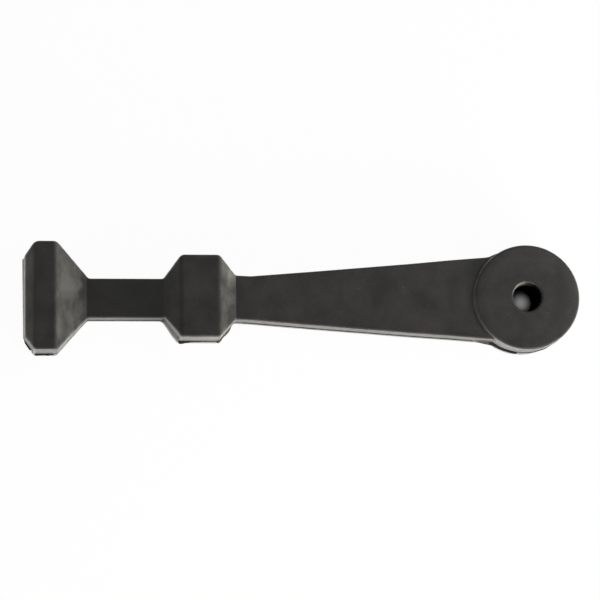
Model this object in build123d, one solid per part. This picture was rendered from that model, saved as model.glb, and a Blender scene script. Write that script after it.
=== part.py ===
from build123d import *
import os
from math import radians, tan

# Moulded rubber draw-latch strap: pivot eye, tapered strap, catch block, neck and T grip, all one rubber moulding.
# The moulding is divided by flat cuts into its working zones: sections that keep their shape, and the flex and
# stretch zones between them that deform.
#
# Frame: millimetres. The origin is the centre of the pivot bore at mid-thickness, which is the mould's parting
# plane. +Z runs up the bore, and the strap reaches out along -X, so the T grip's end has the lowest X.

# ---- mould ----
DRAFT = 2.0  # degrees that each side wall leans in, away from the parting plane

# ---- pivot eye ----
EYE_D = 27.4  # at the parting plane
EYE_THICK = 12.7
EYE_EDGE_R = 0.6
BORE_D = 6.6  # running fit on a 6.35 mm (1/4 in) pivot pin
BORE_MOUTH_D = 7.7  # the lead-in at the upper face
BORE_LEAD = 4.6  # depth of the lead-in
EYE_LAND = 3.8  # stiff root of the strap, outside the eye

# ---- strap ----
STRAP_REACH = 75.4  # pivot bore to the catch block's seat
STRAP_THICK = 9.3
STRAP_SEAT_W = 11.5  # width at the catch block, where the keeper's fork straddles it
STRAP_SEAT_LEN = 3.8  # parallel length at that width
STRAP_ROOT_W = 23.1  # width that the taper would reach at the pivot bore
STRAP_FLEX_LEN = 3.6  # each bending zone
SEAT_FLEX_LEN = 7.6  # the bending zone that ends at the catch block
STRETCH_LEN = 10.0  # the zone that stands for the strap's stretch

# ---- catch block ----
BLOCK_W = 21.6
BLOCK_THICK = 13.8
BLOCK_FLAT = 10.0
BLOCK_SEAT_SLOPE = 4.2  # length of the shoulder that bears on the keeper
BLOCK_NECK_SLOPE = 4.1
BLOCK_CORNER_R = 1.2

# ---- neck ----
NECK_LEN = 19.7
NECK_W = 10.3
NECK_THICK = 7.6
NECK_FLEX_LEN = 6.6  # each of the two bending zones

# ---- T grip ----
TEE_W = 28.0
TEE_THICK = 14.6
TEE_SLOPE = 7.9  # from the neck up to the full section
TEE_FLAT = 5.4
TEE_END_W = 20.4
TEE_END_SLOPE = 2.1  # from the flat down to the end's upper edge
TEE_END_EDGE_THICK = 11.4  # at that edge
TEE_END_LEAN = 0.7  # the end wall leans out by this much, down to the parting plane
TEE_END_LAND = 0.6  # upright strip of the end wall at the parting plane
TEE_CORNER_R = 1.6
TEE_END_CORNER_R = 1.0

# ---- making ----
RUN_ON = 1.0  # how far a blank runs past its last cut, so that the cut is square
ON_CORNER = 0.001

# ---- places along the strap, worked out from the sizes above ----
STUB_X = -(EYE_D / 2 + EYE_LAND)
SEAT_X = -STRAP_REACH
BLOCK_END_X = SEAT_X - BLOCK_SEAT_SLOPE - BLOCK_FLAT - BLOCK_NECK_SLOPE
TEE_X = BLOCK_END_X - NECK_LEN

# ---- zones, in order from the eye, as (name, length); the sections share the length that is left over ----
STRAP_ZONES = [
    ("strap_flex_1", STRAP_FLEX_LEN),
    ("strap_section_1", None),
    ("strap_flex_2", STRAP_FLEX_LEN),
    ("strap_section_2", None),
    ("strap_section_3", None),
    ("stretch_span", STRETCH_LEN),
    ("strap_section_4", None),
    ("strap_flex_3", STRAP_FLEX_LEN),
    ("strap_section_5", None),
    ("strap_flex_4", SEAT_FLEX_LEN),
]
NECK_ZONES = [
    ("neck_lift_flex", NECK_FLEX_LEN),
    ("neck_section_1", None),
    ("neck_section_2", None),
    ("neck_sway_flex", NECK_FLEX_LEN),
]


def moulded(face, thick):
    """A face at the parting plane, moulded both ways to the thickness, with draft on its side walls."""
    upper = extrude(face, amount=thick / 2, dir=(0, 0, 1))
    upper = draft(upper.faces().filter_by(Axis.Z, reverse=True), Plane.XY, DRAFT)
    return upper + mirror(upper, about=Plane.XY)


def mirrored_outline(half):
    """The closed outline whose +Y half is the given points, in order along X."""
    return Polyline(*half, *[(x, -y) for x, y in reversed(half)], close=True)


def slab(x_high, x_low):
    """The space between two flat cuts across the strap."""
    reach = 2 * (TEE_W + TEE_THICK + EYE_D)
    middle = ((x_high + x_low) / 2, 0, 0)
    return Location(middle) * Box(x_high - x_low, reach, reach)


def beyond(inner, outer):
    """The next station outwards on the line through two stations, so that a cut at the outer one is square."""
    share = RUN_ON / abs(outer[0] - inner[0])
    return [*(b + (b - a) * share for a, b in zip(inner[:2], outer[:2])), 0]


def rounded_at(face, stations):
    """The face with its corners rounded at each station that has a radius."""
    for x, _, radius in stations:
        if radius:
            face = fillet([v for v in face.vertices() if abs(v.X - x) < ON_CORNER], radius)
    return face


def faceted_lump(plan_stations, side_stations):
    """A lump whose plan outline is moulded with draft, and whose side outline trims it.

    Stations are (x, full width or thickness, corner radius) along the strap.
    """
    plan = make_face(mirrored_outline([(x, width / 2) for x, width, _ in plan_stations]))
    side = make_face(Plane.XZ * mirrored_outline([(x, thick / 2) for x, thick, _ in side_stations]))
    widest = max(width for _, width, _ in plan_stations)
    thickest = max(thick for _, thick, _ in side_stations)
    lump = moulded(rounded_at(plan, plan_stations), thickest)
    return lump & extrude(rounded_at(side, side_stations), amount=widest, both=True)


def strap_blank():
    """The whole strap, from the pivot bore to the catch block, before it is divided."""
    seat_end = SEAT_X + STRAP_SEAT_LEN
    outline = [(0, STRAP_ROOT_W / 2), (seat_end, STRAP_SEAT_W / 2), (SEAT_X - RUN_ON, STRAP_SEAT_W / 2)]
    return moulded(make_face(mirrored_outline(outline)), STRAP_THICK)


def neck_blank():
    """The whole neck, from the catch block to the T grip, before it is divided."""
    outline = [(BLOCK_END_X + RUN_ON, NECK_W / 2), (TEE_X - RUN_ON, NECK_W / 2)]
    return moulded(make_face(mirrored_outline(outline)), NECK_THICK)


def pivot_eye(strap):
    """The round eye with its bore and the stiff root of the strap."""
    rise = EYE_THICK / 2
    face_r = EYE_D / 2 - rise * tan(radians(DRAFT))
    upper = Pos(0, 0, rise / 2) * Cone(EYE_D / 2, face_r, rise)
    upper = fillet(upper.edges().sort_by(Axis.Z)[-1], EYE_EDGE_R)
    disc = upper + mirror(upper, about=Plane.XY)
    root = strap & slab(0, STUB_X)
    lead_in = Pos(0, 0, rise - BORE_LEAD / 2) * Cone(BORE_D / 2, BORE_MOUTH_D / 2, BORE_LEAD)
    return disc + root - Cylinder(BORE_D / 2, 2 * EYE_THICK) - lead_in


def catch_block():
    """The stop that hooks behind the keeper, with sloped shoulders on both sides."""
    flat_start = SEAT_X - BLOCK_SEAT_SLOPE
    flat_end = flat_start - BLOCK_FLAT

    def outline(seat_size, flat_size, neck_size):
        flat = [(flat_start, flat_size, BLOCK_CORNER_R), (flat_end, flat_size, BLOCK_CORNER_R)]
        return [beyond(flat[0], (SEAT_X, seat_size)), *flat, beyond(flat[1], (BLOCK_END_X, neck_size))]

    lump = faceted_lump(
        outline(STRAP_SEAT_W, BLOCK_W, NECK_W),
        outline(STRAP_THICK, BLOCK_THICK, NECK_THICK),
    )
    return lump & slab(SEAT_X, BLOCK_END_X)


def tee_grip():
    """The finger grip: it flares from the neck, runs flat, and closes in to its end, whose wall leans out."""
    flat_start = TEE_X - TEE_SLOPE
    flat_end = flat_start - TEE_FLAT
    end_edge = flat_end - TEE_END_SLOPE
    end = end_edge - TEE_END_LEAN

    def flare(neck_size, flat_size):
        flat = [(flat_start, flat_size, TEE_CORNER_R), (flat_end, flat_size, TEE_CORNER_R)]
        return [beyond(flat[0], (TEE_X, neck_size)), *flat]

    lump = faceted_lump(
        [*flare(NECK_W, TEE_W), (end, TEE_END_W, TEE_END_CORNER_R)],
        [*flare(NECK_THICK, TEE_THICK), (end_edge, TEE_END_EDGE_THICK, 0), (end, TEE_END_LAND, 0)],
    )
    return lump & slab(TEE_X, end - RUN_ON)


def divided(blank, x_start, x_end, zones):
    """Cuts a blank into its named zones, from x_start towards -X to x_end."""
    fixed = [length for _, length in zones if length]
    section = (x_start - x_end - sum(fixed)) / (len(zones) - len(fixed))
    made = {}
    for name, length in zones:
        x_next = x_start - (length or section)
        made[name] = blank & slab(x_start, x_next)
        x_start = x_next
    return made


strap = strap_blank()
parts = {
    "pivot_eye": pivot_eye(strap),
    **divided(strap, STUB_X, SEAT_X, STRAP_ZONES),
    "catch_block": catch_block(),
    **divided(neck_blank(), BLOCK_END_X, TEE_X, NECK_ZONES),
    "tee_grip": tee_grip(),
}

os.makedirs("parts", exist_ok=True)
for name, solid in parts.items():
    export_step(solid, os.path.join("parts", f"{name}.step"))
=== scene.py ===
from math import cos, hypot, pi, radians, sin, tan

import bmesh
import bpy
import numpy as np
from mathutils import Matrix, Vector, noise


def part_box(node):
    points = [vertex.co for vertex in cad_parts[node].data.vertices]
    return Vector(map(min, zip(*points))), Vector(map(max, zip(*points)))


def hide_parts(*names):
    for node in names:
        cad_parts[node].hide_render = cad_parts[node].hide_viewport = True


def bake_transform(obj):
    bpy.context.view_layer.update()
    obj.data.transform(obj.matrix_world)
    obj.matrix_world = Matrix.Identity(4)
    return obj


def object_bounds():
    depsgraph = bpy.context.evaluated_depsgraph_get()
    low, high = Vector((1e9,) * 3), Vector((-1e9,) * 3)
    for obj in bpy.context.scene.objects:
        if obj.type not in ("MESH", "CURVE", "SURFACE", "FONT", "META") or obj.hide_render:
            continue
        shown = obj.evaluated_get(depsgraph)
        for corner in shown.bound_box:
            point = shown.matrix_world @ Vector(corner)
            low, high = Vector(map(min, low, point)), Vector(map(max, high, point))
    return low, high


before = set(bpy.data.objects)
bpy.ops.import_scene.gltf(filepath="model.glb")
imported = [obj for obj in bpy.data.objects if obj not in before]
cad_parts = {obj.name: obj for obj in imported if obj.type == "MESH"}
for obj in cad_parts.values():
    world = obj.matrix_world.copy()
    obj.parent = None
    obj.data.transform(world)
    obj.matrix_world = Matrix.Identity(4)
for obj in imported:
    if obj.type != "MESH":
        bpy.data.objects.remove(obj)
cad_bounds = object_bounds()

# Moulded rubber draw-latch strap: pivot eye, tapered strap, catch block, neck and T grip.
#
# One continuous rubber skin is built in millimetres from the sizes of the CAD nodes. It is divided at flat
# cuts inside the zones that keep their shape, into one piece round each joint.
#
# The two sides of the moulding are told apart by their hand: 1 is the +Y side and -1 is the -Y side.

MM = 0.001
UP = Vector((0, 0, 1))


def box_mm(cad_node):
    """Lowest and highest corner of a CAD node, in millimetres."""
    return [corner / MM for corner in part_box(cad_node)]


# ---- sizes that the CAD nodes give, in millimetres ----
EYE_R = box_mm("pivot_eye")[1].x
EYE_HALF = box_mm("pivot_eye")[1].z
STUB_X = box_mm("pivot_eye")[0].x
STUB_HALF_W = box_mm("strap_flex_1")[1].y
STRAP_HALF = box_mm("strap_section_1")[1].z
SEAT_X = box_mm("catch_block")[1].x
BLOCK_END_X = box_mm("catch_block")[0].x
BLOCK_HALF_W, BLOCK_HALF = box_mm("catch_block")[1].yz
NECK_HALF_W, NECK_HALF = box_mm("neck_section_1")[1].yz
TEE_X = box_mm("tee_grip")[1].x
TEE_HALF_W, TEE_HALF = box_mm("tee_grip")[1].yz

# ---- sizes inside the nodes, in millimetres, as the CAD source has them ----
DRAFT = radians(2.0)
BORE_R = 3.3
BORE_MOUTH_R = 3.85
BORE_LEAD = 4.6
SEAT_HALF_W = 5.75
SEAT_LEN = 3.8
BLOCK_SEAT_SLOPE = 4.2
BLOCK_FLAT = 10.0
TEE_SLOPE = 7.9
TEE_FLAT = 5.4
TEE_END_SLOPE = 2.1
TEE_END_HALF_W = 10.2
TEE_END_EDGE_HALF = 5.7
TEE_END_LAND_HALF = 0.3

# ---- places along the moulding ----
STRAP_END_X = -6.0  # where the strap's solid ends, inside the eye
SEAT_END_X = SEAT_X + SEAT_LEN
BLOCK_FLAT_END = SEAT_X - BLOCK_SEAT_SLOPE
BLOCK_FLAT_START = BLOCK_FLAT_END - BLOCK_FLAT
TEE_FLAT_END = TEE_X - TEE_SLOPE
TEE_FLAT_START = TEE_FLAT_END - TEE_FLAT

# ---- how this one moulding departs from the meant form, in millimetres ----
TEE_CORNER_R = {1: 2.4, -1: 1.0}  # corners in plan, rounder on the +Y side
BLOCK_CORNER_R = {1: 1.9, -1: 0.9}
TEE_END_CORNER_R = {1: 0.7, -1: 0.9}
TEE_FOOT_OUT = {1: 0.32, -1: 0.5}  # how much nearer the block the foot of the T's slope is
TEE_FULLER = 0.1  # how much wider the T is, on each side
NECK_FULLER = {1: 0.0, -1: 0.06}  # the neck and the strap are wider on the -Y side only
STRAP_FULLER = {1: 0.0, -1: 0.16}
END_FOOT_BACK = 0.08  # the T's end wall stands more upright: its foot is this much further in
END_EDGE_OUT = 0.2  # and its upper edge is this much further out
TEE_END_X = box_mm("tee_grip")[0].x + END_FOOT_BACK
TEE_EDGE_X = TEE_FLAT_START - TEE_END_SLOPE - END_EDGE_OUT
EYE_OVAL = 1.014  # how many times longer the eye is along the strap than across it
OVAL_FROM_R = BORE_MOUTH_R + 1.0  # from this radius outwards, because its bore is round
FACE_FALL = [(10.4, 0.0), (11.6, 0.04), (12.6, 0.13)]  # how far the eye's faces fall away, at each radius
EYE_RIM_FALL = 0.25  # and at their rim
EYE_RIM_OUT = 0.1  # how far the rim stands out from the drafted wall

# How far the moulding lies towards +Y, along X. The rubber doesn't lie quite straight.
SIDE_SHIFT = [
    (TEE_X - 0.2, 0.0),
    (TEE_X + 0.8, -0.27),
    (BLOCK_END_X - 0.6, -0.27),
    (BLOCK_END_X + 0.4, 0.0),
    (SEAT_X - 0.4, 0.0),
    (SEAT_X + 4.0, -0.22),
    (SEAT_X + 20.0, -0.24),
    (SEAT_X + 45.0, -0.16),
    (SEAT_X + 56.0, 0.0),
]

# How much fuller the lower half's -Y side is than the upper half's, along X. It is where the mould's halves
# didn't meet true.
LOWER_FULLER = [
    (BLOCK_END_X - 0.8, 0.0),
    (BLOCK_END_X + 0.3, 0.62),
    (BLOCK_FLAT_START - 1.2, 0.7),
    (BLOCK_FLAT_START + 0.6, 0.0),
]

# ---- edge rounds and other small forms, in millimetres ----
RIM_R = 0.6  # where a face turns down into a side wall
RIM_SHARE = 0.7  # of the half thickness, the most that this round takes where the moulding is thin
RIDGE_R = 2.4  # the soft ridge between two faces
END_RIDGE_R = 1.8  # the same, where the T's flat turns down to its end
END_EDGE_R = 0.8  # the upper edge of the T's end wall
INNER_R = 1.0  # a hollow corner in plan
SEAT_END_R = 8.0  # the soft bend in plan where the strap starts to widen
EYE_RIM_R = 0.75
BORE_RIM_R = 0.55
LIP = 0.2  # how far the foot of the block's slope stands above the neck
LIP_RUN = 0.2  # and how far along the neck it takes to fall
LEAN_LIMIT = 2.0  # the most times that a wall's lean grows where it runs aslant in plan
FOOT_R = 0.75  # the fillet round the foot of the eye's wall, on the strap's faces
FOOT_ARC_R = 0.98 * FOOT_R  # its arc, which stops a little short of its two ends
FOOT_SINK = 0.02  # how far the fillet starts inside the strap's face and the eye's wall
FOOT_INSET = 0.3  # how far inside the strap's side walls it ends
FOOT_BAR_RISE = 1.0  # how far the bar that trims it stands above the strap's faces
FOOT_BAR_X = STUB_X - 3.0  # where that bar starts
FOOT_INNER_R = BORE_R + 2.0  # how far in the fillet's ring reaches, hidden in the eye

# ---- how finely the skin is divided, in millimetres and radians ----
STATION_STEP = 0.45  # spacing of the cross sections
STATION_GAP = 0.015  # stations nearer than this are one
ON_STATION = 0.005  # a place this near a station is at it
SLOPE_STEP = 0.05  # half the length over which an outline's slope is read
TOP_COLUMNS = 36
RIM_STEPS = 5
ARC_STEP = radians(9)
STRAIGHT = radians(1)  # a corner that turns less than this gets no arc
SPIN_STEPS = 200
SAME_POINT = 1e-4  # points nearer than this are merged
SAME_SKIN_POINT = 1e-3  # the same, on the joined skin
ON_CUT = 1e-5  # a point this near a cut lies on it


# ---- outlines ----
def rounded(points):
    """An open outline through (x, y, radius) points, with an arc at each point that has a radius."""
    path = [Vector(points[0][:2])]
    for before, (x, y, radius), after in zip(points, points[1:], points[2:]):
        corner = Vector((x, y))
        inward = (corner - Vector(before[:2])).normalized()
        outward = (Vector(after[:2]) - corner).normalized()
        turn = inward.angle_signed(outward)
        if not radius or abs(turn) < STRAIGHT:
            path.append(corner)
            continue
        start = corner - inward * radius * tan(abs(turn) / 2)
        side = inward.orthogonal() if turn < 0 else -inward.orthogonal()
        centre = start + side * radius
        steps = max(2, round(abs(turn) / ARC_STEP))
        for step in range(steps + 1):
            share = abs(turn) * step / steps
            path.append(centre - side * radius * cos(share) + inward * radius * sin(share))
    path.append(Vector(points[-1][:2]))
    return path


def plan_outline(hand):
    """Half width along X at the parting plane, on one side, without the end wall, which stands across X."""
    spread = (STUB_HALF_W - SEAT_HALF_W) / (STUB_X - SEAT_END_X)
    strap_end_half = SEAT_HALF_W + spread * (STRAP_END_X - SEAT_END_X)
    tee_half = TEE_HALF_W + TEE_FULLER
    neck_half = NECK_HALF_W + NECK_FULLER[hand]
    seat_half = SEAT_HALF_W + STRAP_FULLER[hand]
    return rounded([
        (TEE_END_X, 0, 0),
        (TEE_END_X, TEE_END_HALF_W, TEE_END_CORNER_R[hand]),
        (TEE_FLAT_START, tee_half, TEE_CORNER_R[hand]),
        (TEE_FLAT_END + TEE_FOOT_OUT[hand], tee_half, TEE_CORNER_R[hand]),
        (TEE_X + TEE_FOOT_OUT[hand], neck_half, INNER_R),
        (BLOCK_END_X, neck_half, INNER_R),
        (BLOCK_FLAT_START, BLOCK_HALF_W, BLOCK_CORNER_R[hand]),
        (BLOCK_FLAT_END, BLOCK_HALF_W, BLOCK_CORNER_R[hand]),
        (SEAT_X, seat_half, INNER_R),
        (SEAT_END_X, seat_half, SEAT_END_R),
        (STRAP_END_X, strap_end_half + STRAP_FULLER[hand], 0),
    ])[1:]


def side_outline():
    """Half thickness along X, above and below. The block's slope ends in a small lip on the neck."""
    return rounded([
        (TEE_END_X, TEE_END_LAND_HALF, 0),
        (TEE_EDGE_X, TEE_END_EDGE_HALF, END_EDGE_R),
        (TEE_FLAT_START, TEE_HALF, END_RIDGE_R),
        (TEE_FLAT_END, TEE_HALF, RIDGE_R),
        (TEE_X, NECK_HALF, 0),
        (BLOCK_END_X - LIP_RUN, NECK_HALF, 0),
        (BLOCK_END_X, NECK_HALF + LIP, 0),
        (BLOCK_FLAT_START, BLOCK_HALF, RIDGE_R),
        (BLOCK_FLAT_END, BLOCK_HALF, RIDGE_R),
        (SEAT_X, STRAP_HALF, 0),
        (STRAP_END_X, STRAP_HALF, 0),
    ])


def along_x(table, x):
    """The value at x of a table of (x, value) rows."""
    return float(np.interp(x, *zip(*table)))


def height_at(outline, x):
    """The height of an outline at x."""
    return float(np.interp(x, [p.x for p in outline], [p.y for p in outline]))


# ---- flash ----
# Runs of flash that were left on the parting line: the hand of the side, where a run starts and ends along
# X, its height at those two ends, how ragged it is, and half its thickness where it leaves the wall.
# The thick runs are webs of rubber.
THIN = 0.05
FLASH_RUNS = [
    (-1, TEE_END_X + 0.2, TEE_END_X + 1.7, 0.66, 0.8, 0.25, THIN),
    (-1, TEE_FLAT_START + 0.1, TEE_FLAT_END - 0.4, 0.48, 0.46, 0.5, THIN),
    (-1, TEE_X + 1.0, BLOCK_END_X - 0.8, 0.14, 0.14, 0.3, THIN),
    (-1, BLOCK_END_X - 0.4, BLOCK_FLAT_START - 0.3, 0.6, 0.9, 0.08, 2.2),
    (-1, BLOCK_FLAT_START - 0.3, BLOCK_FLAT_START + 3.2, 0.95, 0.3, 0.2, THIN),
    (-1, BLOCK_FLAT_START + 3.2, BLOCK_FLAT_END - 0.6, 0.3, 0.22, 0.4, THIN),
    (-1, BLOCK_FLAT_END - 0.6, BLOCK_FLAT_END + 3.0, 0.62, 0.75, 0.45, THIN),
    (-1, SEAT_X + 2.0, STUB_X + 4.0, 0.2, 0.2, 0.3, THIN),
    (-1, -12.8, -9.4, 0.3, 0.85, 0.1, 1.5),
    (-1, -9.4, -2.0, 0.85, 0.56, 0.12, THIN),
    (-1, -2.0, 6.0, 0.16, 0.2, 0.1, THIN),
    (1, SEAT_X, SEAT_X + 4.0, 0.3, 0.22, 0.2, THIN),
    (1, -12.6, -8.6, 0.05, 0.6, 0.1, 2.0),
    (1, -8.6, -6.0, 0.6, 0.1, 0.1, 2.0),
]
ALL_ROUND_HEIGHT = 0.09  # the trace of flash that is left everywhere else
ALL_ROUND_ROUGHNESS = 0.8
ROOT_SHARE = 0.3  # of a side wall's height, the most that the flash's root takes
TEETH_LENGTH = 0.9  # about the length of the coarse teeth of the flash's edge
FINE_TEETH = 2.6  # how many times finer the small teeth are

# The T's end has a strip of flash that grows towards +Y, with small teeth, and a nub near its +Y corner.
NUB_Y = 9.9
NUB_HALF = 0.4
NUB_HEIGHT = 0.3
END_FLASH_SPREAD = 0.008  # how fast the strip grows, from nothing at the other corner
END_TEETH_HEIGHT = 0.12
END_TEETH_LENGTH = 1.1
END_FLASH_TAPER = 0.7  # how much of its height it has lost at the edges of the end's upright land


def noise_along(place, row):
    """Smooth noise along a line, about 0 on average. Each row is a line of its own."""
    return noise.noise(Vector((place, row, 0)))


def ragged(place):
    """A rough edge along the parting line, about 0 on average."""
    where = (place.x + 0.8 * place.y) / TEETH_LENGTH
    return noise_along(where, 3.1) + 0.5 * noise_along(FINE_TEETH * where, 7.7)


def flash(place):
    """How far the flash stands out from the parting line here, and half its thickness at the wall."""
    edge = ragged(place)
    flash_here = (ALL_ROUND_HEIGHT * (1 + ALL_ROUND_ROUGHNESS * edge), THIN)
    for hand, start, end, height_start, height_end, roughness, root in FLASH_RUNS:
        if place.y * hand > 0 and start < place.x < end:
            share = (place.x - start) / (end - start)
            height = height_start + (height_end - height_start) * share
            flash_here = max(flash_here, (height * (1 + roughness * edge), root))
    return flash_here


def end_flash_height(y):
    """How far the flash stands out from the T's end."""
    nub = NUB_HEIGHT if abs(y - NUB_Y) < NUB_HALF else 0.0
    strip = max(0.0, END_FLASH_SPREAD * (y + NUB_Y))
    return max(nub, strip + END_TEETH_HEIGHT * max(0.0, noise_along(y / END_TEETH_LENGTH, 1.3)))


# ---- solids ----
def section(x, half_widths, half_thick, lean):
    """The ring of (y, z) points round one cross section. It starts at the tip of the +Y side's flash."""
    rim = min(RIM_R, RIM_SHARE * half_thick)
    wall_top = half_thick - rim
    turns = [pi / 2 * step / RIM_STEPS for step in range(RIM_STEPS + 1)]
    upper = {}
    tips = []
    for hand in (1, -1):
        base = half_widths[hand]
        height, root = flash(Vector((x, hand * base, 0)))
        tips.append((hand * (base + height), 0))
        wall = [(base - z * lean, z) for z in (min(root, ROOT_SHARE * wall_top), wall_top / 2)]
        corner = base - wall_top * lean - rim
        arc = [(corner + rim * cos(turn), wall_top + rim * sin(turn)) for turn in turns]
        upper[hand] = [(hand * y, z) for y, z in [*wall, *arc]]
    start, end = upper[1][-1][0], upper[-1][-1][0]
    across = [(start + (end - start) * k / TOP_COLUMNS, half_thick) for k in range(1, TOP_COLUMNS)]
    over = [*upper[1], *across, *reversed(upper[-1])]
    wider = 1 + along_x(LOWER_FULLER, x) / half_widths[-1]
    under = [(y * wider if y < 0 else y, -z) for y, z in reversed(over)]
    return [tips[0], *over, tips[1], *under]


def stations(*outlines):
    """Every X at which a cross section is made: the outlines' own points, and steps between them."""
    own = sorted({round(p.x, 3) for outline in outlines for p in outline})
    made = [own[0]]
    for x in own[1:]:
        gap = x - made[-1]
        if gap < STATION_GAP:
            continue
        steps = max(1, round(gap / STATION_STEP))
        made += [made[-1] + gap * (k + 1) / steps for k in range(steps)]
    return made


def cross_sections(x_start, rise, inset):
    """(x, ring) for each station from x_start to inside the eye, thicker by rise and narrower by inset."""
    plans = {hand: plan_outline(hand) for hand in (1, -1)}
    side = side_outline()
    rows = []
    for x in stations(*plans.values(), side):
        if x < x_start - ON_STATION:
            continue
        shift = along_x(SIDE_SHIFT, x)
        half_widths = {hand: height_at(plan, x) + hand * shift - inset for hand, plan in plans.items()}
        widening = height_at(plans[1], x + SLOPE_STEP) - height_at(plans[1], x - SLOPE_STEP)
        lean = tan(DRAFT) * min(LEAN_LIMIT, hypot(1, widening / (2 * SLOPE_STEP)))
        rows.append((x, section(x, half_widths, height_at(side, x) + rise, lean)))
    return rows


def moulded_bar(x_start, rise=0.0, inset=0.0):
    """The moulding from x_start to inside the eye: a grid, rolled up to its cross sections and closed."""
    rows = cross_sections(x_start, rise, inset)
    around = len(rows[0][1])
    solid = bmesh.new()
    bmesh.ops.create_grid(solid, x_segments=len(rows) - 1, y_segments=around, size=0.5)
    for vert in solid.verts:
        row = round((vert.co.x + 0.5) * (len(rows) - 1))
        column = round((vert.co.y + 0.5) * around) % around
        x, ring = rows[row]
        y, z = ring[column]
        if x < TEE_END_X + ON_STATION and abs(z) < TEE_END_LAND_HALF:
            x -= end_flash_height(y) * (1 - abs(z) / TEE_END_LAND_HALF * END_FLASH_TAPER)
        vert.co = (x, y, z)
    bmesh.ops.remove_doubles(solid, verts=solid.verts, dist=SAME_POINT)
    bmesh.ops.holes_fill(solid, edges=[e for e in solid.edges if e.is_boundary])
    bmesh.ops.recalc_face_normals(solid, faces=solid.faces)
    return solid


def turned(profile):
    """A closed ring: a closed profile of (radius, z) points, turned round the bore's axis."""
    solid = bmesh.new()
    ring = [solid.verts.new((p.x, 0, p.y)) for p in profile[:-1]]
    for start, end in zip(ring, ring[1:] + ring[:1]):
        solid.edges.new((start, end))
    bmesh.ops.spin(
        solid, geom=solid.verts[:] + solid.edges[:], cent=(0, 0, 0), axis=UP,
        angle=2 * pi, steps=SPIN_STEPS, use_merge=True,
    )
    bmesh.ops.remove_doubles(solid, verts=solid.verts, dist=SAME_POINT)
    bmesh.ops.recalc_face_normals(solid, faces=solid.faces)
    return solid


def oval(solid):
    """The eye's outside is a little longer along the strap than across it. Its bore stays round."""
    for vert in solid.verts:
        if vert.co.xy.length > OVAL_FROM_R:
            vert.co.x *= EYE_OVAL
    return solid


def pivot_eye():
    """The round eye: a bore with its lead-in, faces that fall away to their rims, and drafted walls."""
    wall_r = EYE_R - EYE_HALF * tan(DRAFT) + EYE_RIM_OUT
    root_r = EYE_R - THIN * tan(DRAFT)
    rim_z = EYE_HALF - EYE_RIM_FALL
    falling = [(radius, EYE_HALF - fall) for radius, fall in FACE_FALL]
    solid = turned(rounded([
        (BORE_R, 0, 0),
        (BORE_R, EYE_HALF - BORE_LEAD, 0),
        (BORE_MOUTH_R, EYE_HALF, BORE_RIM_R),
        *[(radius, z, 0) for radius, z in falling],
        (wall_r, rim_z, EYE_RIM_R),
        (root_r, THIN, 0),
        (EYE_R, 0, 0),
        (root_r, -THIN, 0),
        (wall_r, -rim_z, EYE_RIM_R),
        *[(radius, -z, 0) for radius, z in reversed(falling)],
        (BORE_R, -EYE_HALF, BORE_RIM_R),
        (BORE_R, 0, 0),
    ]))
    for vert in solid.verts:
        on_parting_line = abs(vert.co.z) < SAME_POINT and vert.co.xy.length > BORE_MOUTH_R
        if on_parting_line:
            vert.co += vert.co.normalized() * flash(vert.co)[0]
    return oval(solid)


def foot_fillet():
    """The fillet between the strap's faces and the eye's wall, above and below."""
    wall_r = EYE_R - STRAP_HALF * tan(DRAFT) - FOOT_SINK
    face = STRAP_HALF - FOOT_SINK
    ring = turned(rounded([
        (FOOT_INNER_R, 0, 0),
        (FOOT_INNER_R, face + FOOT_R, 0),
        (wall_r, face + FOOT_R, 0),
        (wall_r, face, FOOT_ARC_R),
        (wall_r + FOOT_R, face, 0),
        (wall_r + FOOT_R, -face, 0),
        (wall_r, -face, FOOT_ARC_R),
        (wall_r, -face - FOOT_R, 0),
        (FOOT_INNER_R, -face - FOOT_R, 0),
        (FOOT_INNER_R, 0, 0),
    ]))
    bar = working_object(moulded_bar(FOOT_BAR_X, rise=FOOT_BAR_RISE, inset=FOOT_INSET))
    return combined(bar, working_object(oval(ring)), "INTERSECT")


def working_object(solid):
    """A solid as an object, for a boolean."""
    mesh = bpy.data.meshes.new("working")
    solid.to_mesh(mesh)
    solid.free()
    piece = bpy.data.objects.new("working", mesh)
    bpy.context.scene.collection.objects.link(piece)
    return piece


def combined(piece, other, operation="UNION"):
    """The boolean of two working objects, kept on the first."""
    modifier = piece.modifiers.new("working", "BOOLEAN")
    modifier.operation = operation
    modifier.solver = "EXACT"
    modifier.object = other
    shown = piece.evaluated_get(bpy.context.evaluated_depsgraph_get())
    made = bpy.data.meshes.new_from_object(shown)
    piece.modifiers.clear()
    piece.data = made
    bpy.data.objects.remove(other)
    return piece


# ---- film and wear ----
# How much of the pale film is laid in each place, where 1 is a full slope. The film is partly a real film
# of wax and talc and partly painted light, laid on the faces that turn towards the lamps.
TEE_FILM_AND_LIGHT = 1.05  # on the T's slope, which faces +X
TEE_FOOT_SHARE = 0.75  # of that, how much is at the slope's foot
TEE_RISE_SHARE = 0.4  # and how much is added up to its top
TEE_END_FILM_AND_LIGHT = 0.5  # on the T's end, where it faces -X: film and painted light
BLOCK_FILM_AND_LIGHT = 0.95  # on the block's slope that faces the eye
BLOCK_FILM_END = SEAT_X + 1.0  # a little way up the strap
BLOCK_WALL_PAINTED_LIGHT = 0.65  # painted reflection on the block's side walls, which lightens them where they face +Y or -Y
EYE_FILM_AND_LIGHT = 0.3  # film and painted light on the eye's wall, where it faces away from the strap, towards +X and the low key
MOUTH_PAINTED_HIGHLIGHT = 5.0  # a painted highlight on the lip of the bore's mouth, strongest where the lip faces the low key, in the direction on the next line
MOUTH_HIGHLIGHT_FACING = Vector((0.6, -0.8))
MOUTH_HIGHLIGHT_FADING = 3  # how fast that painted highlight fades round the lip, as a power
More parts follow.
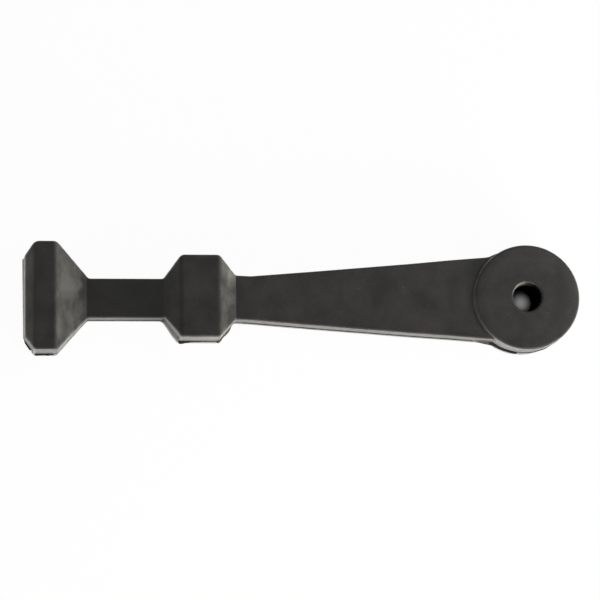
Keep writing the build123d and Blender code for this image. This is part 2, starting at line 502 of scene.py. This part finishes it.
FACING_GAIN = 1.6  # a face has all of its film and painted light when its normal's X is 1 / FACING_GAIN or more
FLASH_REACH = 0.1  # the flash, this near the parting line, has no film
FILM_SPOT_PLACE = Vector((SEAT_X - 2.0, 5.9))  # the middle of a round spot with more film on the block's slope
FILM_SPOT_R = 2.2
FILM_SPOT = 0.8  # how much more, at the middle of that place
BARE_BAND = 1.9  # length of a band at the foot of the T's slope that has next to no film
BARE_WANDER = 1.1  # how far the band's edge wanders
BARE_PATCH = 1.7  # about the size of its bays
BARE_EDGE = 0.7  # length over which the film fades in
NECK_PAINTED_SHADE = 0.6  # painted shade on the neck, which lies low between the block and the T, where 1 is the bore's wall
SEAT_PAINTED_SHADE = 0.2  # the same painted shade, where the strap meets the block
SEAT_PAINTED_SHADE_LEN = 3.0
BORE_SHADE_R = BORE_MOUTH_R + 0.1  # the bore's wall lies inside this radius
BORE_SHADE_TOP = 0.25  # its painted shade gets darker from this far below the eye's upper face
BORE_SHADE_FADE = 2.4  # over this depth
BORE_SHADED_COPY_TOP = 0.7  # and the copy of the rubber with painted shade, which gives back no reflected light, starts this far below the eye's faces


def clipped(share):
    """A share, kept between 0 and 1."""
    return max(0.0, min(1.0, share))


def tee_film_and_light(place, facing):
    """The film and painted light on the T's slope, where it faces +X: next to none in a wavy band at its
    foot, and more towards its top.
    """
    ripple = noise.noise(Vector((place.x / BARE_PATCH, place.y / BARE_PATCH, 5.3)))
    bare = BARE_BAND + BARE_WANDER * ripple
    left = clipped((TEE_X - place.x - bare + BARE_EDGE) / BARE_EDGE)
    rise = (TEE_X - place.x) / TEE_SLOPE
    return facing * TEE_FILM_AND_LIGHT * left * (TEE_FOOT_SHARE + TEE_RISE_SHARE * rise)


def block_film_and_light(place, normal, facing):
    """The film and painted light on the block's slopes, with more of it in one round spot, and painted
    reflection on its side walls.
    """
    spot = max(0.0, 1 - (place.xy - FILM_SPOT_PLACE).length_squared / FILM_SPOT_R ** 2)
    on_wall = place.x < SEAT_X and abs(place.z) > FLASH_REACH
    # painted reflection on the side walls, strongest where they face +Y or -Y
    walls = BLOCK_WALL_PAINTED_LIGHT * abs(normal.y) if on_wall else 0.0
    return max(walls, facing * (BLOCK_FILM_AND_LIGHT + FILM_SPOT * spot))


def film_and_light_share(place, normal):
    """How much of the pale film and painted light there is here: most on the slopes that face the eye and
    the low key, and a painted highlight on the lip of the bore.
    """
    # facing is how far a face turns to +X, towards the low key: the film and painted light go there
    facing = clipped(normal.x * FACING_GAIN)
    # a painted highlight on the lip of the bore's mouth
    if place.xy.length < BORE_MOUTH_R + BORE_RIM_R:
        return MOUTH_PAINTED_HIGHLIGHT * max(0.0, normal.xy.dot(MOUTH_HIGHLIGHT_FACING)) ** MOUTH_HIGHLIGHT_FADING
    # film and painted light on the faces turned to +X, from the block to the eye
    if place.x > BLOCK_FILM_END:
        return facing * EYE_FILM_AND_LIGHT
    if place.x > BLOCK_END_X:
        return block_film_and_light(place, normal, facing)
    return max(-normal.x * TEE_END_FILM_AND_LIGHT, tee_film_and_light(place, facing))


def painted_shade_share(place):
    """How much painted shade there is: 1 in the bore, less on the neck and at the seat, which lie low
    beside the raised parts.
    """
    # painted shade in the hollow of the neck, and beside the block at the seat
    if TEE_X < place.x < BLOCK_END_X:
        return NECK_PAINTED_SHADE
    if SEAT_X < place.x < SEAT_X + SEAT_PAINTED_SHADE_LEN:
        return SEAT_PAINTED_SHADE * (1 - (place.x - SEAT_X) / SEAT_PAINTED_SHADE_LEN)
    if place.xy.length > BORE_SHADE_R:
        return 0.0
    # painted shade down the bore
    return clipped((EYE_HALF - BORE_SHADE_TOP - place.z) / BORE_SHADE_FADE)


def in_bore(face):
    """Whether a face is part of the bore's wall, below its mouth."""
    middle = face.calc_center_median()
    return middle.xy.length < BORE_MOUTH_R and abs(middle.z) < EYE_HALF - BORE_SHADED_COPY_TOP


# ---- skin ----
def whole_skin():
    """The complete moulding as one closed bmesh. Each point keeps its place, its share of film and painted
    light and its share of painted shade, and each face of the bore's wall has the second material, a copy
    of the rubber with painted shade."""
    piece = working_object(moulded_bar(TEE_END_X))
    for other in (foot_fillet(), working_object(pivot_eye())):
        combined(piece, other)
    solid = bmesh.new()
    solid.from_mesh(piece.data)
    bpy.data.objects.remove(piece)
    bmesh.ops.remove_doubles(solid, verts=solid.verts, dist=SAME_SKIN_POINT)
    bmesh.ops.dissolve_degenerate(solid, edges=solid.edges, dist=SAME_SKIN_POINT)
    solid.normal_update()
    place = solid.verts.layers.float_vector.new("moulded_place")
    film_and_painted_light = solid.verts.layers.float.new("film_and_painted_light")
    painted_shade = solid.verts.layers.float.new("painted_shade")
    for vert in solid.verts:
        vert[place] = vert.co * MM
        vert[film_and_painted_light] = film_and_light_share(vert.co, vert.normal)
        vert[painted_shade] = painted_shade_share(vert.co)
    # the bore's wall takes the copy of the rubber with painted shade
    for face in solid.faces:
        face.material_index = int(in_bore(face))
    return solid


def cut_flat(solid, point, normal):
    """Cuts a solid, drops the side that the normal points to, and closes the cut."""
    whole = solid.verts[:] + solid.edges[:] + solid.faces[:]
    cut = bmesh.ops.bisect_plane(
        solid, geom=whole, dist=ON_CUT, plane_co=point, plane_no=normal, clear_outer=True
    )
    rim = [g for g in cut["geom_cut"] if isinstance(g, bmesh.types.BMEdge)]
    if rim:
        bmesh.ops.contextual_create(solid, geom=rim)


# ---- pieces ----
def along(cad_node, share):
    """X in millimetres at a share of a node's length, from the eye's side of it."""
    low, high = box_mm(cad_node)
    return high.x + (low.x - high.x) * share


# Each piece: its name, the X of the cut where it ends, the two bodies that it bends between, the zone that
# it bends in, and the CAD nodes that it stands for. A piece without a zone twists over its whole length.
BENDING = [
    ("eye_skin", along("strap_section_1", 0.5), "eye", "strap_1", "strap_flex_1",
     ["pivot_eye", "strap_flex_1"]),
    ("strap_skin_1", along("strap_section_2", 0.06), "strap_1", "strap_2", "strap_flex_2",
     ["strap_section_1", "strap_flex_2"]),
    ("strap_skin_2", along("strap_section_3", 0.94), "strap_2", "strap_3", None,
     ["strap_section_2", "strap_section_3"]),
    ("strap_skin_3", along("strap_section_4", 0.5), "strap_3", "strap_4", "stretch_span",
     ["stretch_span"]),
    ("strap_skin_4", along("strap_section_5", 0.5), "strap_4", "strap_5", "strap_flex_3",
     ["strap_section_4", "strap_flex_3"]),
    ("strap_skin_5", along("catch_block", 0.49), "strap_5", "catch", "strap_flex_4",
     ["strap_section_5", "strap_flex_4"]),
    ("block_skin", along("neck_section_1", 0.08), "catch", "neck_1", "neck_lift_flex",
     ["catch_block", "neck_lift_flex"]),
    ("neck_skin", along("neck_section_2", 0.92), "neck_1", "neck_2", None,
     ["neck_section_1", "neck_section_2"]),
    ("grip_skin", None, "neck_2", "grip", "neck_sway_flex",
     ["neck_sway_flex", "tee_grip"]),
]
CREASE = radians(32)  # an edge that folds more than this is sharp


def skin_piece(skin, name, x_start, x_end):
    """One closed length of the skin, as a smooth-shaded object in metres."""
    solid = skin.copy()
    if x_start is not None:
        cut_flat(solid, (x_start, 0, 0), (1, 0, 0))
    if x_end is not None:
        cut_flat(solid, (x_end, 0, 0), (-1, 0, 0))
    solid.normal_update()
    for face in solid.faces:
        face.smooth = True
    for edge in solid.edges:
        edge.smooth = len(edge.link_faces) == 2 and edge.calc_face_angle() < CREASE
    bmesh.ops.scale(solid, vec=(MM, MM, MM), verts=solid.verts)
    mesh = bpy.data.meshes.new(name)
    solid.to_mesh(mesh)
    solid.free()
    piece = bpy.data.objects.new(name, mesh)
    bpy.context.scene.collection.objects.link(piece)
    shading = piece.modifiers.new("even shading", "WEIGHTED_NORMAL")
    shading.keep_sharp = True
    return piece


# ---- materials ----
def linear(hex_colour):
    """The linear RGBA of an sRGB hex colour."""
    channels = [int(hex_colour[i:i + 2], 16) / 255 for i in (1, 3, 5)]
    return [c / 12.92 if c <= 0.04045 else ((c + 0.055) / 1.055) ** 2.4 for c in channels] + [1]


SMOOTH = {"interpolation_type": "SMOOTHSTEP"}


def node(tree, kind, settings=None, **links):
    """Adds one node. settings are its properties and unlinked sockets, and links its linked sockets. A link
    is named for its socket, with _ for a space, or by _ and the socket's number."""
    made = tree.nodes.new(kind)
    for name, value in (settings or {}).items():
        if hasattr(made, str(name)):
            setattr(made, name, value)
        else:
            made.inputs[name].default_value = value
    for name, source in links.items():
        socket = made.inputs[int(name[1:])] if name[1:].isdigit() else made.inputs[name.replace("_", " ")]
        tree.links.new(source, socket)
    return made


def new_material(name):
    """An empty material and its node tree."""
    material = bpy.data.materials.new(name)
    material.use_nodes = True
    material.node_tree.nodes.clear()
    return material, material.node_tree


def rubber_colour(tree, place):
    """The rubber's colour: its own, the film on it with the painted light that it carries, specks of dust,
    and painted shade in near-black. Sockets 6 and 7 of a Mix node are its two colours, and its output 2 is
    their mix."""
    film = node(tree, "ShaderNodeAttribute", {"attribute_name": "film_and_painted_light"}).outputs["Fac"]
    painted_shade = node(tree, "ShaderNodeAttribute", {"attribute_name": "painted_shade"}).outputs["Fac"]

    # the rubber's own colour drifts a little, over about 6 mm
    broad = {"Scale": 1 / (6 * MM), "Detail": 4}
    drift = node(tree, "ShaderNodeTexNoise", broad, Vector=place).outputs[0]
    middling = {"From Min": 0.35, "From Max": 0.65}
    drift = node(tree, "ShaderNodeMapRange", middling, Value=drift).outputs[0]
    shades = {"data_type": "RGBA", 6: linear("#191716"), 7: linear("#282523")}
    colour = node(tree, "ShaderNodeMix", shades, _0=drift).outputs[2]

    # the film, with the painted light in it, lies in patches about 4 mm across, drawn out along Y by wiping
    along_y = node(tree, "ShaderNodeMapping", {"Scale": (1, 0.45, 1)}, Vector=place).outputs[0]
    blotches = {"Scale": 1 / (3.8 * MM), "Detail": 5, "Roughness": 0.62}
    patches = node(tree, "ShaderNodeTexNoise", blotches, Vector=along_y).outputs[0]
    thickness = {"From Min": 0.38, "From Max": 0.62, "To Min": 0.1, "To Max": 0.66}
    patches = node(tree, "ShaderNodeMapRange", thickness, Value=patches).outputs[0]
    film = node(tree, "ShaderNodeMath", {"operation": "MULTIPLY"}, _0=film, _1=patches).outputs[0]
    film_and_light_mix = {"data_type": "RGBA", 7: linear("#6f6d66")}
    colour = node(tree, "ShaderNodeMix", film_and_light_mix, _0=film, _6=colour).outputs[2]

    # a few pale specks of dust, 0.5 mm, which is coarser than the real ones so that they show
    dots = {"Scale": 1 / (0.5 * MM), "Detail": 1}
    specks = node(tree, "ShaderNodeTexNoise", dots, Vector=place).outputs[0]
    few = {"From Min": 0.74, "From Max": 0.8, "To Min": 0.0, "To Max": 0.16}
    specks = node(tree, "ShaderNodeMapRange", few, Value=specks).outputs[0]
    dusty = {"data_type": "RGBA", 7: linear("#8a8880")}
    colour = node(tree, "ShaderNodeMix", dusty, _0=specks, _6=colour).outputs[2]

    # painted shade: in the bore, and less on the neck and at the seat, the colour is darkened to near-black
    black = {"data_type": "RGBA", 7: linear("#0b0b0a")}
    return node(tree, "ShaderNodeMix", black, _0=painted_shade, _6=colour).outputs[2]


def rubber_relief(tree, place):
    """The blasted grain, 0.35 mm, which is coarser than the real one so that it shows, and a slow waviness
    from shrinkage, 6 mm."""
    fine = {"Scale": 1 / (0.35 * MM), "Detail": 2, "Roughness": 0.6}
    grain = node(tree, "ShaderNodeTexNoise", fine, Vector=place).outputs[0]
    slow = {"Scale": 1 / (6 * MM), "Detail": 2}
    waves = node(tree, "ShaderNodeTexNoise", slow, Vector=place).outputs[0]
    shallow = {"Strength": 0.5, "Distance": 0.06 * MM}
    grained = node(tree, "ShaderNodeBump", shallow, Height=grain).outputs[0]
    deeper = {"Strength": 0.4, "Distance": 0.25 * MM}
    return node(tree, "ShaderNodeBump", deeper, Height=waves, Normal=grained).outputs[0]


def compression_moulded_epdm(name, gloss):
    """EPDM rubber from a sand-blasted mould: a warm near-black, matt, with a pale sheen where it is seen
    edge-on, and a thin grey film of wax and talc in uneven patches, which also carries painted light on the
    faces that turn towards the lamps; it is darkened by painted shade in the hollows and the bore. gloss
    holds the shader's settings that are the same all over."""
    material, tree = new_material(name)
    place = node(tree, "ShaderNodeAttribute", {"attribute_name": "moulded_place"}).outputs["Vector"]

    # handling has polished some places a little more than others, over about 5 mm
    hands = {"Scale": 1 / (5 * MM), "Detail": 3}
    handled = node(tree, "ShaderNodeTexNoise", hands, Vector=place).outputs[0]
    matt = {"From Min": 0.3, "From Max": 0.7, "To Min": 0.44, "To Max": 0.54}
    roughness = node(tree, "ShaderNodeMapRange", matt, Value=handled).outputs[0]
    surface = node(
        tree, "ShaderNodeBsdfPrincipled", {"IOR": 1.5, **gloss},
        Base_Color=rubber_colour(tree, place), Roughness=roughness, Normal=rubber_relief(tree, place),
    )
    node(tree, "ShaderNodeOutputMaterial", Surface=surface.outputs[0])
    return material


FACE_GLOSS = {"Sheen Weight": 0.65, "Sheen Roughness": 0.3, "Sheen Tint": linear("#f2efe9")}
BORE_SHADE_GLOSS = {"Specular IOR Level": 0.0}  # painted shade: the bore's wall gives back no reflected light, so that it shows as dark as a deep hole
rubber = compression_moulded_epdm("compression-moulded EPDM rubber", FACE_GLOSS)
# the bore's wall has a copy of the rubber that paints its shade
bore_shaded_rubber = compression_moulded_epdm("EPDM rubber with painted shade in the bore", BORE_SHADE_GLOSS)

# ---- the skin, piece by piece from the eye to the grip ----
skin = whole_skin()
x_start = None
for name, x_end, body, next_body, zone, cad_nodes in BENDING:
    piece = skin_piece(skin, name, x_start, x_end)
    piece.data.materials.append(rubber)
    # the eye's piece also takes the copy with painted shade, for its bore
    if "pivot_eye" in cad_nodes:
        piece.data.materials.append(bore_shaded_rubber)
    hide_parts(*cad_nodes)
    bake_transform(piece)
    x_start = x_end
skin.free()


# ---- camera ----
CAMERA_PLACE = Vector((-134.9, -94.9, 654.8)) * MM
CAMERA_TURN = [radians(angle) for angle in (8.27, -6.55, -0.77)]  # about X, Y and Z


def camera():
    """A long lens high above the strap, a little beyond its T grip and towards -Y."""
    data = bpy.data.cameras.new("camera")
    data.lens = 154.9
    data.sensor_width = 36.0
    data.clip_start = 0.01
    made = bpy.data.objects.new("camera", data)
    made.location = CAMERA_PLACE
    made.rotation_euler = CAMERA_TURN
    bpy.context.scene.collection.objects.link(made)
    return made


# ---- light and floor ----
MIDDLE = Vector((-60, 0, 0)) * MM  # of the strap, where the lights look
HORIZON = 5.0  # how strong the bright band along the horizon is
BAND_TOP = 0.25  # the height at which it has faded, as the sine of its elevation
NEAR_SIDE = 1.25  # how much of it there is on the -Y side
FAR_SIDE = 0.35  # and on the +Y side
CEILING = 0.29  # how strong the dim light from above is
FLOOR_HALF = 3.0  # half the table's side, in metres
FLOOR_WHITE = 0.96  # how much of the table shows plain white, and the rest of it is lit and shadowed
TABLE_WHITE = 0.85  # how white the lit table is
HIDDEN_TABLE = 0.08  # the table under the bore, which gets next to no light
BORE_GLOW = 0.2  # how white the patch of light that shows through the bore is, at its middle
BORE_LIGHT_R = 3.0  # that patch's radius, in millimetres
BORE_LIGHT_MIDDLE = Vector((0.9, 0.3, 0)) * MM


def softbox(name, towards, distance, size, power, glare=True):
    """A square area light that looks at the middle of the strap from a direction. Without glare it is
    behind a polariser, so that the rubber doesn't mirror it."""
    data = bpy.data.lights.new(name, "AREA")
    data.shape = "SQUARE"
    data.size = size
    data.energy = power
    made = bpy.data.objects.new(name, data)
    made.location = MIDDLE + Vector(towards).normalized() * distance
    made.rotation_euler = Vector(towards).to_track_quat("Z", "Y").to_euler()
    made.visible_glossy = glare
    bpy.context.scene.collection.objects.link(made)


def seen_white(tree):
    """1 for rays that show the background: the camera's, and mirrored and transmitted ones."""
    rays = node(tree, "ShaderNodeLightPath").outputs
    shown = rays["Is Camera Ray"]
    for kind in ("Is Glossy Ray", "Is Transmission Ray"):
        shown = node(tree, "ShaderNodeMath", {"operation": "MAXIMUM"}, _0=shown, _1=rays[kind]).outputs[0]
    return shown


def studio_world():
    """A bright band along the horizon, brighter on the -Y side, as of white walls round the table, under a
    dim ceiling."""
    world = bpy.data.worlds.new("studio")
    world.use_nodes = True
    tree = world.node_tree
    tree.nodes.clear()
    way = node(tree, "ShaderNodeTexCoord").outputs["Generated"]
    way = node(tree, "ShaderNodeSeparateXYZ", _0=way)
    fading = {**SMOOTH, "From Min": 0.0, "From Max": BAND_TOP, "To Min": HORIZON, "To Max": 0.0}
    band = node(tree, "ShaderNodeMapRange", fading, Value=way.outputs["Z"]).outputs[0]
    nearer = {"From Min": -0.6, "From Max": 0.4, "To Min": NEAR_SIDE, "To Max": FAR_SIDE}
    side = node(tree, "ShaderNodeMapRange", nearer, Value=way.outputs["Y"]).outputs[0]
    over_ceiling = {"operation": "MULTIPLY_ADD", 2: CEILING}
    strength = node(tree, "ShaderNodeMath", over_ceiling, _0=band, _1=side).outputs[0]
    lit = node(tree, "ShaderNodeBackground", {"Color": (1, 1, 1, 1)}, Strength=strength).outputs[0]
    node(tree, "ShaderNodeOutputWorld", Surface=lit)
    bpy.context.scene.world = world


def white_table():
    """A matt white table that shows white and keeps a soft shadow. Under the eye it is dark, apart from the
    patch of light that comes through the bore."""
    material, tree = new_material("white table")
    white = node(tree, "ShaderNodeEmission", {"Color": (1, 1, 1, 1), "Strength": 1.0}).outputs[0]
    place = node(tree, "ShaderNodeTexCoord").outputs["Object"]
    without_z = {"operation": "MULTIPLY", 1: (1, 1, 0)}
    flat = node(tree, "ShaderNodeVectorMath", without_z, _0=place).outputs[0]

    # how far the table is open to the light, from under the bore out to the eye's wall
    from_bore = node(tree, "ShaderNodeVectorMath", {"operation": "LENGTH"}, _0=flat).outputs["Value"]
    opening = {**SMOOTH, "From Min": BORE_R * MM, "From Max": EYE_R * MM, "To Max": FLOOR_WHITE}
    open_floor = node(tree, "ShaderNodeMapRange", opening, Value=from_bore).outputs[0]
    shade = {"From Max": FLOOR_WHITE, "To Min": HIDDEN_TABLE, "To Max": TABLE_WHITE}
    shade = node(tree, "ShaderNodeMapRange", shade, Value=open_floor).outputs[0]
    plain = node(tree, "ShaderNodeBsdfDiffuse", Color=shade).outputs[0]

    # the patch of light
    off_middle = {"operation": "SUBTRACT", 1: BORE_LIGHT_MIDDLE}
    moved = node(tree, "ShaderNodeVectorMath", off_middle, _0=flat).outputs[0]
    from_patch = node(tree, "ShaderNodeVectorMath", {"operation": "LENGTH"}, _0=moved).outputs["Value"]
    glowing = {**SMOOTH, "From Max": BORE_LIGHT_R * MM, "To Min": BORE_GLOW, "To Max": 0.0}
    patch = node(tree, "ShaderNodeMapRange", glowing, Value=from_patch).outputs[0]

    shown = node(tree, "ShaderNodeMath", {"operation": "MAXIMUM"}, _0=open_floor, _1=patch).outputs[0]
    times = {"operation": "MULTIPLY"}
    share = node(tree, "ShaderNodeMath", times, _0=seen_white(tree), _1=shown).outputs[0]
    both = node(tree, "ShaderNodeMixShader", _0=share, _1=plain, _2=white).outputs[0]
    node(tree, "ShaderNodeOutputMaterial", Surface=both)
    return material


def floor():
    """The table, at the height of the strap's lowest point."""
    sheet = bmesh.new()
    bmesh.ops.create_grid(sheet, x_segments=1, y_segments=1, size=FLOOR_HALF)
    bmesh.ops.translate(sheet, vec=(0, 0, cad_bounds[0][2]), verts=sheet.verts)
    mesh = bpy.data.meshes.new("floor")
    sheet.to_mesh(mesh)
    sheet.free()
    mesh.materials.append(white_table())
    made = bpy.data.objects.new("floor", mesh)
    bpy.context.scene.collection.objects.link(made)


bpy.context.scene.camera = camera()
softbox("low key", towards=(0.73, -0.64, 0.24), distance=0.5, size=0.3, power=5.9, glare=False)
softbox("high key", towards=(0.5, 0.3, 0.8), distance=0.5, size=0.26, power=0.46)
studio_world()
floor()
bpy.context.scene.view_settings.view_transform = "Standard"
